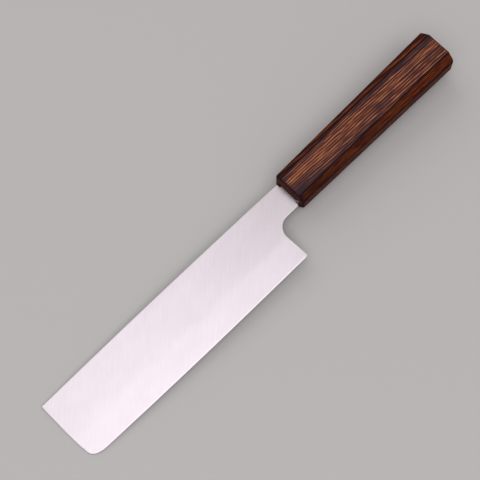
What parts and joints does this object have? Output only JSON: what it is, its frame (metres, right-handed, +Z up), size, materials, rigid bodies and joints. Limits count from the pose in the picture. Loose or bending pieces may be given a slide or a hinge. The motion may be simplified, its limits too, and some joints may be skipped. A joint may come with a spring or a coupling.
{
  "type": "usuba knife",
  "caption": "Square-ended Japanese vegetable knife: a thin ground blade with a finger notch, its hidden tang bedded in a one-piece octagonal handle of burnt oak.",
  "frame": {"origin": "on the table, under the middle of the box that holds the knife as it lies on its right side", "axes": "+X from the blade's square front to the handle's butt, +Y from the edge to the spine, +Z up, out of the blade's left face"},
  "size_m": [0.3082, 0.0468, 0.0257],
  "materials": {
    "blade_steel": "satin, with a fine slanting scratch pattern",
    "burnt_oak": "charred, brushed and lacquered, with open grain",
    "bedding_resin": "set resin, hidden in the socket",
    "mouth_filler": "matt filler, stained as the handle is"
  },
  "bodies": {
    "root": {"blade": "blade_steel", "handle": "burnt_oak", "tang_bedding": "bedding_resin", "mouth_seal": "mouth_filler"}
  },
  "joints": []
}
